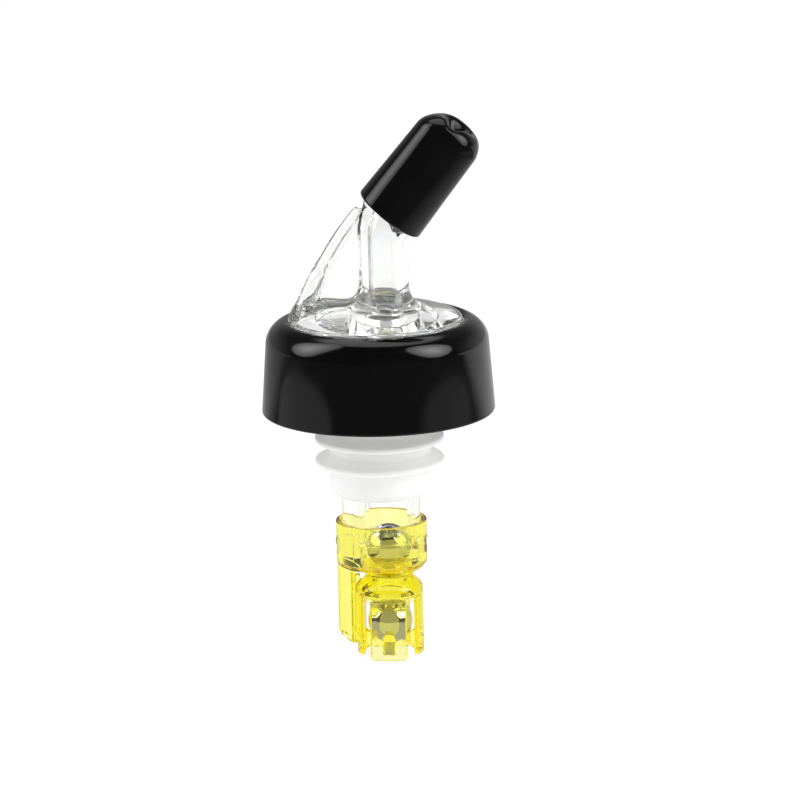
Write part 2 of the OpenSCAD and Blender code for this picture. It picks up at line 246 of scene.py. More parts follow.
# %% Disc, base and pipe
DISC_R, DISC_EDGE, DOME, BASE_R, BASE_LOW, BASE_TOP = 15.15, 10.8, 2.0, 17.2, 2.4, 8.0
NOZZLE_LEN, FOOT_R = 17.2, 3.4
PIPE_TRAVEL = [-5.0, -2.5, 0.0, 2.2, TIP_TRAVEL, TIP_TRAVEL + NOZZLE_LEN]
PIPE_RADIUS = [4.2, 4.22, 4.3, 4.55, 5.15, 4.25]


def spout_outside(x, y, z):
    r = np.hypot(x, y)
    dome = (z - DISC_EDGE - DOME * (1 - (np.minimum(r, DISC_R) / DISC_R) ** 3.5)) / 1.1
    disc = np.maximum(keep(r - DISC_R, dome, 0.45), BASE_TOP - 1 - z)
    base = keep(r - BASE_R, between(z, BASE_LOW, BASE_TOP), 0.25)
    away, travel = centre_line(x, y, z)
    pipe = away - np.interp(travel, PIPE_TRAVEL, PIPE_RADIUS)
    pipe = keep(pipe, travel - TIP_TRAVEL - NOZZLE_LEN, 0.4)
    return join(np.minimum(disc, base), np.maximum(pipe, BASE_TOP - z), FOOT_R)


print("the dome's top is at", round(DISC_EDGE + DOME, 2), "mm, the nozzle is", NOZZLE_LEN, "mm long")

# %% [markdown]
# The air duct is an arc of 67 mm radius. It is thicker at its foot, on the inner side only, and
# ends flat, just under the cap. The web fills the corner between duct and pipe.

# %% Duct and web
DUCT_CENTRE, DUCT_ARC, DUCT_R, WEB = (48.56, -13.73), 67.2, 1.2, 0.9
DUCT_END = -2.5


def duct_radius(z):
    return np.interp(z, [12.0, 18.0, 26.0], [2.0, 1.5, DUCT_R])


def duct_and_web(x, y, z):
    reach = np.hypot(x - DUCT_CENTRE[0], z - DUCT_CENTRE[1])
    radius = duct_radius(z)
    duct = np.hypot(reach - DUCT_ARC + radius - DUCT_R, y) - radius
    web = np.maximum(np.maximum(np.abs(y) - WEB, reach - DUCT_ARC), x - PIPE_X)
    _, along = nozzle_frame(x, z)
    rib = keep(join(duct, web, 0.4), along - DUCT_END, 0.15)
    return np.maximum(keep(rib, np.hypot(x, y) - DISC_R + 0.1, 0.3), BASE_TOP - z)


print("duct radius at its foot and under the cap, mm:", duct_radius(12.0), duct_radius(28.0))

# %% [markdown]
# The hollows matter as much as the outside, because a clear piece shows them all: the flow
# bore, the seat that the ball shuts, the sockets for the measuring tube, and the hollow ring
# that the air crosses on its way to the duct. The seat is a 45 degree cone. The air hole goes
# straight up from the ring and then follows the duct to its flat end.

# %% The spout's hollows
CHAMBER_X, FLOW_R, THROAT_Z, SEAT_LOW = 1.25, 2.2, 7.2, 5.5
VENT_R, VENT_FOOT_X, VENT_FOOT_Z, VENT_END = 0.6, -12.95, 12.9, -1.3
RING_IN, RING_OUT, RING_TOP = 9.7, 13.6, 7.2


def spout_hollows(x, y, z):
    r, q = np.hypot(x, y), np.hypot(x - CHAMBER_X, y)
    away, _ = centre_line(x, y, z)
    flow = np.maximum(away - FLOW_R, THROAT_Z - 0.5 - z)
    seat = np.maximum((q - FLOW_R - (THROAT_Z - z)) * math.sqrt(0.5), z - THROAT_Z)
    socket = np.maximum(q - 5.65, z - 6.05)
    recess = np.maximum(r - 9.1, z - 3.65)
    ring = keep(between(r, RING_IN, RING_OUT), z - RING_TOP, 0.4)
    slot = np.maximum(np.maximum(between(x, -RING_IN - 1, -4.8), np.abs(y) - 0.75), z - 5.0)
    reach = np.hypot(x - DUCT_CENTRE[0], z - DUCT_CENTRE[1])
    _, along = nozzle_frame(x, z)
    vent = np.hypot(reach - DUCT_ARC + duct_radius(z) - DUCT_R, y)
    vent = vent - np.interp(z, [15.0, 18.2, 19.4], [1.0, 0.9, VENT_R])
    vent = np.maximum(vent, np.maximum(VENT_FOOT_Z - z, along - VENT_END))
    drop = np.maximum(np.hypot(x - VENT_FOOT_X, y) - VENT_R,
                      between(z, RING_TOP - 0.7, VENT_FOOT_Z + 0.2))
    hollow = join(flow, np.maximum(seat, SEAT_LOW - z), 0.1)
    for more in (socket, recess, ring, slot, join(vent, drop, 0.1)):
        hollow = np.minimum(hollow, more)
    return hollow


print("the seat opens from", FLOW_R, "to", round(FLOW_R + THROAT_Z - SEAT_LOW, 2), "mm radius")

# %% [markdown]
# The fillet between duct and disc is wide at the duct's foot and narrow along the web.

# %% The spout
def spout_field(x, y, z):
    fillet = np.interp(x, [-12.5, -4.0], [2.6, 0.8])
    solid = join(spout_outside(x, y, z), duct_and_web(x, y, z), fillet)
    return cut(solid, spout_hollows(x, y, z), 0.15)


spout = moulding("spout_moulding", spout_field, (-17.2, -17.2, 2.4), (17.2, 17.2, 45.4), 0.22,
                 "pourer", "spout")

# %% [markdown]
# ## The measuring tube
# The clear tube hangs from the spout. Its chamber is off centre, which leaves room for a thin
# air channel on the left. Two tall windows let the liquor in at front and back, a thin hoop
# ties the walls together under them, and two barbs at the sides hold the yellow cup. A barb
# has a flat top, which holds, and a ramp below, which lets it slide in.

# %% The tube's barbs
TUBE_R = 6.95
BARB_TOP, BARB_LOW, BARB_OUT, BARB_W, RAMP_H = -29.1, -31.5, 8.1, 2.6, 1.2


def barbs(x, y, z):
    side, reach = np.abs(x), BARB_OUT - TUBE_R
    ramp = ((side - TUBE_R) * RAMP_H - (z - BARB_LOW) * reach) / math.hypot(RAMP_H, reach)
    block = np.maximum(between(side, TUBE_R - 0.5, BARB_OUT), between(z, BARB_LOW, BARB_TOP))
    return keep(keep(block, np.abs(y) - BARB_W / 2, 0.3), ramp, 0.4)


print("a barb stands out by", round(BARB_OUT - TUBE_R, 2), "mm")

# %% The measuring tube
TUBE_LOW, CHAMBER_R, AIR_X, AIR_R = -33.3, 4.35, 5.55, 0.75
FLANGE_R, FLANGE_TOP, SPIGOT_R, SPIGOT_TOP = 9.0, 3.6, 5.6, 6.0
WINDOW_W, WINDOW_TOP, HOOP_TOP, HOOP_T = 7.3, -20.9, -28.9, 0.4


def tube_field(x, y, z):
    r, q, off = np.hypot(x, y), np.hypot(x - CHAMBER_X, y), x - CHAMBER_X
    wall = keep(r - TUBE_R, between(z, TUBE_LOW, FLANGE_TOP), 0.12)
    flange = keep(r - FLANGE_R, between(z, FLANGE_TOP - 1.2, FLANGE_TOP), 0.15)
    spigot = keep(q - SPIGOT_R, between(z, 2.0, SPIGOT_TOP), 0.15)
    solid = join(join(wall, flange, 0.12), np.minimum(spigot, barbs(x, y, z)), 0.12)
    window = keep(np.abs(off) - WINDOW_W / 2, between(z, HOOP_TOP, WINDOW_TOP), 0.35)
    notch = np.maximum(between(x, -3.0, 5.3), z - (HOOP_TOP - HOOP_T))
    behind = np.maximum(np.maximum(np.abs(off) - WINDOW_W / 2, r - (TUBE_R - 0.5)),
                        between(z, HOOP_TOP - HOOP_T - 0.5, HOOP_TOP + 0.5))
    solid = cut(solid, np.minimum(np.minimum(window, notch), behind), 0.1)
    bores = np.minimum(q - CHAMBER_R, np.hypot(x + AIR_X, y) - AIR_R)
    return cut(solid, bores, 0.1)


tube = moulding("measuring_tube_moulding", tube_field, (-9, -9, -33.3), (9, 9, 6.0), 0.2,
                "pourer", "measuring_tube")

# %% [markdown]
# ## The yellow tail
# One moulding again: a thin cup that snaps over the tube's barbs, a floor with a 45 degree
# seat for the upper ball, a neck, and a cage of four legs for the lower ball. The legs at
# front and back have flat faces and bevelled corners. A lug inside each leg keeps the ball in.
# Beside the cage hangs the sleeve that lets the air out, with a slanted end.

# %% Outside of the tail
CUP_R, CUP_RIM, CUP_BASE, NECK_R, LEG_R, LEG_END = 8.05, -25.8, -33.9, 4.1, 5.9, -50.6
SLEEVE_X, SLEEVE_R, SLEEVE_END, SLANT_Z = 6.3, 1.62, -48.4, -46.2


def tail_outside(x, y, z):
    r, q = np.hypot(x, y), np.hypot(x - CHAMBER_X, y)
    cup = keep(keep(r - CUP_R, CUP_BASE - z, 0.8), z - CUP_RIM, 0.15)
    cone = np.maximum((q - NECK_R) * 0.562 - (z + 35.7) * 0.827, between(z, -36.0, -33.8))
    cone = np.maximum(cone, r - 7.4)
    neck = np.maximum(q - NECK_R, between(z, -38.0, -33.5))
    shoulder = keep(q - LEG_R, (q - NECK_R + z + 36.0) * math.sqrt(0.5), 0.35)
    cage = keep(shoulder, LEG_END - z, 0.3)
    sleeve = np.maximum(np.hypot(x + SLEEVE_X, y) - SLEEVE_R, z + 33.6)
    slant = 0.656 * (x + SLEEVE_X + SLEEVE_R) + 0.755 * (z - SLANT_Z)
    sleeve = keep(keep(sleeve, -slant, 0.15), SLEEVE_END - z, 0.15)
    rib = np.maximum(np.maximum(between(x, -5.6, -4.0), np.abs(y) - 0.8), between(z, -48.0, -36.0))
    tail = join(np.minimum(cup, cone), neck, 0.25)
    tail = join(tail, cage, 0.2)
    return join(tail, join(sleeve, rib, 0.2), 0.3)


print("cup, neck and legs are", 2 * CUP_R, 2 * NECK_R, 2 * LEG_R, "mm across")

# %% [markdown]
# The hollows of the tail, from top to bottom: the pocket for the tube, the port with a seat at
# each end, the cage for the lower ball and the four slots between its legs. The legs at front
# and back are plane inside too, which is why the ball behind them isn't distorted.

# %% Ports, seats and slots of the tail
CUP_FLOOR, PORT_R, UPPER_SEAT, LOWER_SEAT, CAGE_TOP = -33.3, 2.2, -34.14, -37.0, -36.7
LEG_IN, LEG_IN_FLAT, LEG_TOP, SIDE_LEG_END, FLAT_Y, SLOT_W = 4.4, 4.45, -40.0, -49.95, 5.32, 2.2


def tail_hollows(x, y, z):
    off = x - CHAMBER_X
    r, q = np.hypot(x, y), np.hypot(off, y)
    flat = keep(np.maximum(np.abs(off), np.abs(y)) - LEG_IN_FLAT, q - 5.3, 0.2)
    pocket = np.maximum(r - 7.0, CUP_FLOOR - z)
    port = np.maximum(q - PORT_R, z - CUP_FLOOR - 1)
    upper = np.maximum((q - PORT_R - (z - UPPER_SEAT)) * math.sqrt(0.5), z - CUP_FLOOR - 1)
    lower = np.maximum((q - PORT_R + (z - LOWER_SEAT)) * math.sqrt(0.5), q - LEG_IN)
    lower = np.maximum(np.minimum(lower, np.maximum(flat, z - LEG_TOP - 0.6)), z - CAGE_TOP)
    bore = np.minimum(join(port, np.maximum(upper, -34.5 - z), 0.1), lower)
    slots = np.minimum(np.abs(off - y), np.abs(off + y)) * math.sqrt(0.5) - SLOT_W / 2
    slots = keep(slots, z - LEG_TOP, 0.3)
    flats = np.maximum(FLAT_Y - np.abs(y), z - LEG_TOP)
    bevels = np.maximum(2.9 + (z - LEG_END) - np.abs(off), 3.7 - np.abs(y)) * 0.7
    short = np.maximum(np.maximum(z - SIDE_LEG_END, np.abs(y) - 3.55), 2.95 - np.abs(off))
    catch = np.maximum(np.maximum(np.abs(y) - 1.4, between(z, -31.6, -29.0)), 6.5 - np.abs(x))
    air = np.maximum(np.hypot(x + SLEEVE_X, y) - AIR_R, z + 32.9)
    air = np.minimum(air, np.maximum(np.hypot(x + 5.9, y) - AIR_R, between(z, -33.9, -32.9)))
    hollow = pocket
    for more in (bore, slots, flats, bevels, short, catch, air):
        hollow = np.minimum(hollow, more)
    return hollow


print("the legs are", round(FLAT_Y - LEG_IN_FLAT, 2), "mm thick at front and back")

# %% [markdown]
# A lug is an arch as one sees it from the front, with a sloping top, on which the ball rests,
# and a sloping underside, which lets the ball be pressed in.

# %% Lugs, and the tail
LUG_Z, LUG_R = -46.925, 1.025


def lugs(x, y, z):
    off, q = x - CHAMBER_X, np.hypot(x - CHAMBER_X, y)
    wide = np.minimum(np.abs(off), np.abs(y))
    arch = np.where(z > LUG_Z, np.hypot(wide, z - LUG_Z), wide) - LUG_R
    top = -0.642 * (q - LEG_IN) + 0.766 * (z + 45.9)
    low = -0.686 * (q - 2.3) - 0.728 * (z + 47.66)
    return keep(keep(arch, top, 0.15), np.maximum(low, q - 4.9), 0.15)


def tail_field(x, y, z):
    solid = cut(tail_outside(x, y, z), tail_hollows(x, y, z), 0.12)
    return join(solid, lugs(x, y, z), 0.15)


tail = moulding("tail_moulding", tail_field, (-8.05, -8.05, -50.6), (8.05, 8.05, -25.8), 0.15,
                "pourer", "tail_cage")

# %% [markdown]
# ## The dust cap
# A soft black cap that was dipped, not moulded, so it has no seam. It is made in the nozzle's
# own directions, upright, and then turned to the nozzle's lean. Its end is a blunt cone, cut
# level where it is highest, and pinched in: three puffed lobes meet in a dimple. The end is
# read after it has been sunk by `press`, which is deep in the middle and runs out along three
# creases. A crease is given by its direction in degrees and by how far it reaches.

# %% Dimple and creases of the cap's end
DIMPLE, DIMPLE_R, CREASES = 3.0, 1.9, ((255, 3.3), (12, 2.2), (148, 2.2))


def press(side, y):
    q = np.hypot(side, y)
    depth = DIMPLE * np.exp(-(q / DIMPLE_R) ** 2)
    for turn, reach in CREASES:
        turn = math.radians(turn)
        across = side * math.cos(turn) + y * math.sin(turn)
        sideways = y * math.cos(turn) - side * math.sin(turn)
        outward, inward = np.maximum(across, 0), np.minimum(across, 0)
        groove = DIMPLE * np.exp(-(outward / reach) ** 2.4 - (inward / 0.6) ** 2)
        beside = np.exp(-(sideways / (0.55 + 0.2 * outward)) ** 2)
        depth = depth + np.maximum(groove - depth, 0) * beside
    return depth


print("the end is sunk in the middle by", float(press(0.0, 0.0)), "mm, at 4 mm by",
      [round(float(press(4 * math.cos(t), 4 * math.sin(t))), 2) for t in (0, 1, 2, 3, 4, 5)])

# %% The dust cap
CAP_ALONG, CAP_RADIUS = [0.0, 1.2, 8.6, 16.4, 18.4], [6.5, 6.46, 6.24, 6.03, 5.95]
CAP_LEVEL, MOUTH_BORE, TIP_BORE = 47.25, 5.22, 4.32


def cap_field(side, y, along):
    q = np.hypot(side, y)
    lobe = np.cos(3 * (np.arctan2(y, side) - math.radians(200))) * np.clip(q / 6, 0, 1)
    q = q - np.interp(along, [0, 6, 17, 22], [0.0, 0.08, 0.2, 0.2]) * lobe
    sunk = along + press(side, y)
    cone = keep((sunk + 0.5 * q - 22.5) / 1.118, sunk - 22.1, 2.5)
    level = sunk * math.cos(LEAN) - side * math.sin(LEAN) + MOUTH[1] - CAP_LEVEL
    solid = keep(keep(q - np.interp(along, CAP_ALONG, CAP_RADIUS), cone, 2.2), level, 1.6)
    bore = q - np.interp(along, [0, NOZZLE_LEN], [MOUTH_BORE, TIP_BORE])
    bore = np.maximum(bore, along - NOZZLE_LEN - 0.15)
    return cut(keep(solid, -along, 0.5), bore, 0.15)


def along_nozzle(p, direction=False):
    out = np.empty_like(p)
    out[:, 0] = p[:, 0] * math.cos(LEAN) + p[:, 2] * math.sin(LEAN)
    out[:, 1] = p[:, 1]
    out[:, 2] = p[:, 2] * math.cos(LEAN) - p[:, 0] * math.sin(LEAN)
    return out if direction else out + [MOUTH[0], 0, MOUTH[1]]


cap = moulding("dust_cap", cap_field, (-6.7, -6.7, 0), (6.7, 6.7, 22.2), 0.16,
               "cap", "spout_cap", along_nozzle)

# %% [markdown]
# ## Turned pieces
# Cork and collar are round all the way, so a field would be a waste: a profile is drawn once,
# its corners are rounded, and it is swept round the axis. `rounded` puts an arc in each corner
# of a polygon, with its own radius, as one would on a drawing for a turner.

# %% Profiles with rounded corners
def rounded(corners, steps=5):
    out = []
    for i, (x, z, radius) in enumerate(corners):
        here = Vector((x, z))
        before = (Vector(corners[i - 1][:2]) - here).normalized()
        after = (Vector(corners[(i + 1) % len(corners)][:2]) - here).normalized()
        half = before.angle(after) / 2
        if radius <= 0 or half > 1.5:
            out.append(here)
            continue
        centre = here + (before + after).normalized() * radius / math.sin(half)
        a = here + before * radius / math.tan(half) - centre
        b = here + after * radius / math.tan(half) - centre
        sweep = a.angle(b)
        for k in range(steps + 1):
            t = k / steps
            arm = a * math.sin((1 - t) * sweep) + b * math.sin(t * sweep)
            out.append(centre + arm / math.sin(sweep))
    return np.array([tuple(p) for p in out])


square = rounded([(0, 0, 1), (4, 0, 1), (4, 4, 1), (0, 4, 1)])
print("a square with rounded corners has", len(square), "points")

# %% A profile swept round the axis
def turned(name, profile, segments, body, node, wobble=None):
    angle = np.arange(segments) * 2 * math.pi / segments
    r, z = profile[:, 0][:, None], profile[:, 1][:, None]
    lift = 0 if wobble is None else wobble(r, z, angle[None, :])
    ring = np.stack([r * np.cos(angle), r * np.sin(angle), z + lift + 0 * angle], -1)
    count = len(profile)
    i, j = np.meshgrid(np.arange(count), np.arange(segments), indexing="ij")
    nxt, turn = (i + 1) % count, (j + 1) % segments
    faces = np.stack([i * segments + j, i * segments + turn,
                      nxt * segments + turn, nxt * segments + j], -1)
    return piece(name, ring.reshape(-1, 3), faces.reshape(-1, 4), body, node)


# %% [markdown]
# ## The cork
# Bar people call it a cork, but it is a soft white plastic plug with three fins, thicker at the
# root than at the round rim. Soft mouldings are never quite true, so each fin's rim gets a wave
# of a few hundredths of a millimetre.

# %% The cork
CORK_LEN, CORK_R, CORK_BORE, FIN_R, FIN_PITCH, FIN_COUNT = 21.0, 8.9, 7.0, 11.45, 4.08, 3
CORK_FLANGE_R, CORK_FLANGE_T = 14.4, 2.4


def cork_profile():
    corners = [(CORK_BORE, -CORK_LEN, 0.25), (CORK_R - 1.0, -CORK_LEN, 0.3),
               (CORK_R, 1.4 - CORK_LEN, 0.4)]
    for i in range(FIN_COUNT):
        low = 5.48 - CORK_LEN + i * FIN_PITCH
        corners += [(CORK_R, low, 0.25), (FIN_R, low, 0.5),
                    (FIN_R, low + 1.05, 0.5), (CORK_R, low + 1.9, 0.5)]
    corners += [(CORK_R, 0.0, 0.4), (CORK_FLANGE_R, 0.0, 0.3),
                (CORK_FLANGE_R, CORK_FLANGE_T, 0.3), (CORK_BORE, CORK_FLANGE_T, 0.2)]
    return rounded(corners, 6)


def soft_wave(r, z, angle):
    reach = np.clip((r - CORK_R) / (FIN_R - CORK_R), 0, 1) * (z < -4)
    return reach * (0.03 * np.sin(3 * angle + z) + 0.02 * np.sin(7 * angle + 2 * z))


cork = turned("cork_moulding", cork_profile(), 192, "pourer", "cork", soft_wave)

# %% [markdown]
# ## The collar
# The gloss black skirt carries the spout's base in a pocket and hides the bottle's lip. Its
# shoulder is one large round of 4.3 mm, and its side opens by a few degrees towards the bottom,
# the draft that lets it leave its mould. The profile starts at the lower edge and runs up the
# outside, over the lip and down the pocket.

# %% The collar
def arc(x, z, radius, start, end, steps):
    angle = np.radians(np.linspace(start, end, steps))
    return np.stack([x + radius * np.cos(angle), z + radius * np.sin(angle)], 1)


collar_profile = np.concatenate([
    [(18.87, -6.0)], arc(20.12, -5.55, 0.45, -90, 4, 8), arc(15.4, 6.3, 4.3, 4, 80.7, 30),
    arc(16.0, 9.95, 0.6, 80.7, 180, 10),
    [(15.4, 8.05), (17.35, 8.05), (17.35, 2.2), (16.95, 1.9), (16.95, 1.6), (17.65, 0.9)]])
collar = turned("collar_skirt", collar_profile, 224, "pourer", "collar")

# %% [markdown]
# ## The balls
# Bearing balls are the truest spheres in a kitchen drawer. A ball made of rings and segments
# has two poles where its faces crowd together and a reflection breaks. A cube blown up to a
# sphere has even faces all over and no poles.

# %% The two balls
BALL_R, UPPER_BALL_Z, LOWER_BALL_Z = 3.97, -30.6973, -44.3835


def steel_ball(name, z, body, node, n=40):
    line = np.tan(np.linspace(-math.pi / 4, math.pi / 4, n + 1))
    points, index, faces = [], {}, []
    for axis in range(3):
        for sign in (-1, 1):
            grid = {}
            for i, a in enumerate(line):
                for j, b in enumerate(line):
                    p = [0.0, 0.0, 0.0]
                    p[axis], p[(axis + 1) % 3], p[(axis + 2) % 3] = sign, a, b
                    key = tuple(round(c, 6) for c in p)
                    if key not in index:
                        index[key] = len(points)
                        points.append(Vector(p).normalized() * BALL_R)
                    grid[i, j] = index[key]
            for i in range(n):
                for j in range(n):
                    quad = [grid[i, j], grid[i + 1, j], grid[i + 1, j + 1], grid[i, j + 1]]
                    faces.append(quad if sign > 0 else quad[::-1])
    points = np.array([tuple(p) for p in points]) + [CHAMBER_X, 0, z]
    return piece(name, points, faces, body, node)


upper_ball = steel_ball("upper_ball_steel", UPPER_BALL_Z, "upper_ball", "measuring_ball")
lower_ball = steel_ball("lower_ball_steel", LOWER_BALL_Z, "lower_ball", "tail_ball")

# %% [markdown]
# ## Shared effects
# Three small effects come back in several finishes, so each is a node group, built once and
# given its own values in each material. `flow_ripple` is the faint unevenness that melt leaves
# in a moulding. `handling_marks` makes a gloss vary where fingers and cloths have been.
# `mottle` shifts a colour a little from place to place.

# %% How a group is made, and noise and spread inside it
def new_group(name, inputs, outputs):
    group = bpy.data.node_groups.new(name, "ShaderNodeTree")
    for label, kind, value in inputs:
        socket = group.interface.new_socket(label, in_out="INPUT", socket_type=kind)
        socket.default_value = value
    for label, kind in outputs:
        group.interface.new_socket(label, in_out="OUTPUT", socket_type=kind)
    return group, group.nodes.new("NodeGroupInput"), group.nodes.new("NodeGroupOutput")


def noise_in(group, source, scale, detail):
    place = group.nodes.new("ShaderNodeTexCoord").outputs["Object"]
    noise = group.nodes.new("ShaderNodeTexNoise")
    noise.inputs["Detail"].default_value = detail
    group.links.new(place, noise.inputs["Vector"])
    group.links.new(source.outputs[scale], noise.inputs["Scale"])
    return noise.outputs["Fac"]


def spread(group, fac, low, high):
    remap = group.nodes.new("ShaderNodeMapRange")
    remap.inputs["From Min"].default_value = 0.3
    remap.inputs["From Max"].default_value = 0.7
    group.links.new(fac, remap.inputs["Value"])
    group.links.new(low, remap.inputs["To Min"])
    group.links.new(high, remap.inputs["To Max"])
    return remap.outputs["Result"]


# %% The three groups
NUMBER, COLOUR = "NodeSocketFloat", "NodeSocketColor"
ripple, given, out = new_group("flow_ripple", [("Scale", NUMBER, 150.0)], [("Height", NUMBER)])
ripple.links.new(noise_in(ripple, given, "Scale", 1.0), out.inputs["Height"])

marks, given, out = new_group(
    "handling_marks", [("Scale", NUMBER, 200.0), ("Smooth", NUMBER, 0.05), ("Worn", NUMBER, 0.15)],
    [("Roughness", NUMBER)])
fac = noise_in(marks, given, "Scale", 4.0)
marks.links.new(spread(marks, fac, given.outputs["Smooth"], given.outputs["Worn"]),
                out.inputs["Roughness"])

light_grey, shifted_grey = (0.8, 0.8, 0.8, 1), (0.75, 0.75, 0.72, 1)
mottle, given, out = new_group(
    "mottle", [("Scale", NUMBER, 90.0), ("Plain", COLOUR, light_grey),
               ("Shifted", COLOUR, shifted_grey)],
    [("Color", COLOUR)])
mix = mottle.nodes.new("ShaderNodeMix")
mix.data_type = "RGBA"
mottle.links.new(noise_in(mottle, given, "Scale", 3.0), mix.inputs["Factor"])
mottle.links.new(given.outputs["Plain"], mix.inputs["A"])
mottle.links.new(given.outputs["Shifted"], mix.inputs["B"])
mottle.links.new(mix.outputs["Result"], out.inputs["Color"])
print("node groups:", [g.name for g in bpy.data.node_groups])

# %% [markdown]
# ## Finishes
# Every finish is one Principled shader. What is the same all over, such as the index of
# refraction, is set on the shader itself. What changes over the surface comes from the groups:
# a plain and a shifted colour, a smooth and a worn roughness, and a wave whose depth is in
# millimetres. The three scales are in noise cells per metre.

# %% One way to set up a finish
def finish(name, plain, shifted, mottle_scale, smooth, worn, marks_scale, wave, wave_scale,
           **values):
    material = bpy.data.materials.new(name)
    material.use_nodes = True
    nodes, links = material.node_tree.nodes, material.node_tree.links
    shader = nodes["Principled BSDF"]
    for key, value in values.items():
        shader.inputs[key.replace("_", " ")].default_value = value

    def placed(group, **set_values):
        node = nodes.new("ShaderNodeGroup")
        node.node_tree = group
        for key, value in set_values.items():
            node.inputs[key].default_value = value
        return node

    colour = placed(mottle, Scale=mottle_scale, Plain=(*plain, 1), Shifted=(*shifted, 1))
    links.new(colour.outputs["Color"], shader.inputs["Base Color"])
    rough = placed(marks, Scale=marks_scale, Smooth=smooth, Worn=worn)
    links.new(rough.outputs["Roughness"], shader.inputs["Roughness"])
    bump = nodes.new("ShaderNodeBump")
    bump.inputs["Distance"].default_value = wave * MM
    links.new(placed(ripple, Scale=wave_scale).outputs["Height"], bump.inputs["Height"])
    links.new(bump.outputs["Normal"], shader.inputs["Normal"])
    print(name, values)
    return material


def wear(obj, material):
    obj.data.materials.clear()
    obj.data.materials.append(material)


# %% [markdown]
# ### Clear styrene
# Clear, hard and glassy, with an index of 1.57 and hardly any colour of its own. The ripple is
# two hundredths of a millimetre deep: enough to break up a straight reflection.

# %% Clear styrene on spout and tube
STYRENE = dict(wave=0.02, wave_scale=220, IOR=1.57, Transmission_Weight=1.0)
clear = finish("clear_styrene", (0.985, 0.99, 0.985), (0.965, 0.975, 0.965), 120, 0.0, 0.03, 300,
               **STYRENE)
for obj in (spout, tube):
    wear(obj, clear)

# %% [markdown]
# ### Yellow styrene
# The same plastic with a dye in it. A dye colours the inside, not the surface: a thin wall is
# lemon yellow and a long way through the plastic is golden. Volume absorption does just that.
# One millimetre of it lets nearly all red and green through, and less than half of the blue.

# %% Yellow styrene on the tail
yellow = finish("yellow_styrene", (0.99, 0.985, 0.96), (0.98, 0.97, 0.93), 120, 0.0, 0.04, 300,
                **STYRENE)
DYE, DYE_DENSITY = (0.985, 0.962, 0.0), 820
tree = yellow.node_tree
dye = tree.nodes.new("ShaderNodeVolumeAbsorption")
dye.inputs["Color"].default_value = (*DYE, 1)
dye.inputs["Density"].default_value = DYE_DENSITY
tree.links.new(dye.outputs["Volume"], tree.nodes["Material Output"].inputs["Volume"])
wear(tail, yellow)
print("let through by 1 mm:", [round(math.exp(-DYE_DENSITY * (1 - c) * MM), 3) for c in DYE])

# %% [markdown]
# ### Black, white and steel
# The collar is hard and glossy, the cap is soft and mirrors a little less, and the cork lets
# light sink in before it comes back. The balls are polished steel. The numbers after the two
# colours are the mottle's scale, the smooth and the worn roughness, and the scale of the marks.

# %% Collar, cap, cork and balls
gloss_black = finish("gloss_black", (0.002, 0.002, 0.0021), (0.0035, 0.0035, 0.0035), 150,
                     0.06, 0.14, 250, wave=0.01, wave_scale=120, IOR=1.5)
wear(collar, gloss_black)
dipped_black = finish("dipped_black", (0.003, 0.003, 0.003), (0.005, 0.005, 0.005), 200,
                      0.05, 0.12, 350, wave=0.02, wave_scale=180, IOR=1.4)
wear(cap, dipped_black)
soft_white = finish("soft_white", (0.95, 0.95, 0.935), (0.93, 0.93, 0.91), 160, 0.35, 0.5, 300,
                    wave=0.015, wave_scale=400, IOR=1.45, Subsurface_Weight=0.8,
                    Subsurface_Scale=0.0014, Subsurface_Radius=(1, 1, 0.95))
wear(cork, soft_white)
steel = finish("polished_steel", (0.62, 0.62, 0.63), (0.56, 0.56, 0.57), 500, 0.02, 0.07, 900,
               wave=0.002, wave_scale=700, Metallic=1.0)
for obj in (upper_ball, lower_ball):
    wear(obj, steel)

# %% [markdown]
# The wall of the collar's pocket goes round the clear base, and the lip goes round the disc.
# Both are seen through the clear plastic. The collar is black there too, but the pocket and the
# inside of the lip are painted white like the cork: painted light, so nothing dark shows through the
# disc.

# %% The inside of the collar
# Painted light: these faces of the black collar get the cork's white finish.
collar.data.materials.append(soft_white)
pocket = [face for face in collar.data.polygons
          if 1.9 < face.center.z / MM < 9.5 and 15.3 < math.hypot(*face.center.xy) / MM < 17.6]
for face in pocket:
    face.material_index = 1
print("white faces inside the collar:", len(pocket))

# %% [markdown]
# ## Camera
# The photograph was taken from 13.5 degrees above and 4 degrees to the right of straight on,
# with a long lens, and the pourer leans 1.2 degrees in it. These values come from the ellipses
# of skirt, disc and fins. The middle of the skirt's lower edge lies 21 pixels left of and 10
# below the middle of the picture.

# %% Camera
ACROSS, ABOVE, ROLL = math.radians(4), math.radians(13.51), math.radians(1.23)
DISTANCE, LENS, SENSOR, PICTURE = 1.115, 284.3, 36, 800
LEFT_OF_MIDDLE, BELOW_MIDDLE = 21.2, 9.8
right = Vector((math.cos(ACROSS), math.sin(ACROSS), 0))
back = Vector((math.sin(ACROSS) * math.cos(ABOVE), -math.cos(ACROSS) * math.cos(ABOVE),
               math.sin(ABOVE)))
up = back.cross(right)
screen_x = right * math.cos(ROLL) - up * math.sin(ROLL)
screen_y = right * math.sin(ROLL) + up * math.cos(ROLL)
PIXEL = DISTANCE * SENSOR / LENS / PICTURE
skirt_edge = Vector((0, 0, -6 * MM))
camera = bpy.data.objects.new("camera", bpy.data.cameras.new("camera"))
camera.data.lens, camera.data.sensor_width = LENS, SENSOR
camera.data.clip_start, camera.data.clip_end = 0.01, 20
camera.matrix_world = Matrix((
    (*screen_x, 0), (*screen_y, 0), (*back, 0), (0, 0, 0, 1))).transposed()
camera.location = (skirt_edge + back * DISTANCE
                   + screen_x * LEFT_OF_MIDDLE * PIXEL + screen_y * BELOW_MIDDLE * PIXEL)
bpy.context.scene.collection.objects.link(camera)
bpy.context.scene.camera = camera
print("one pixel is", round(PIXEL / MM, 4), "mm at the pourer")

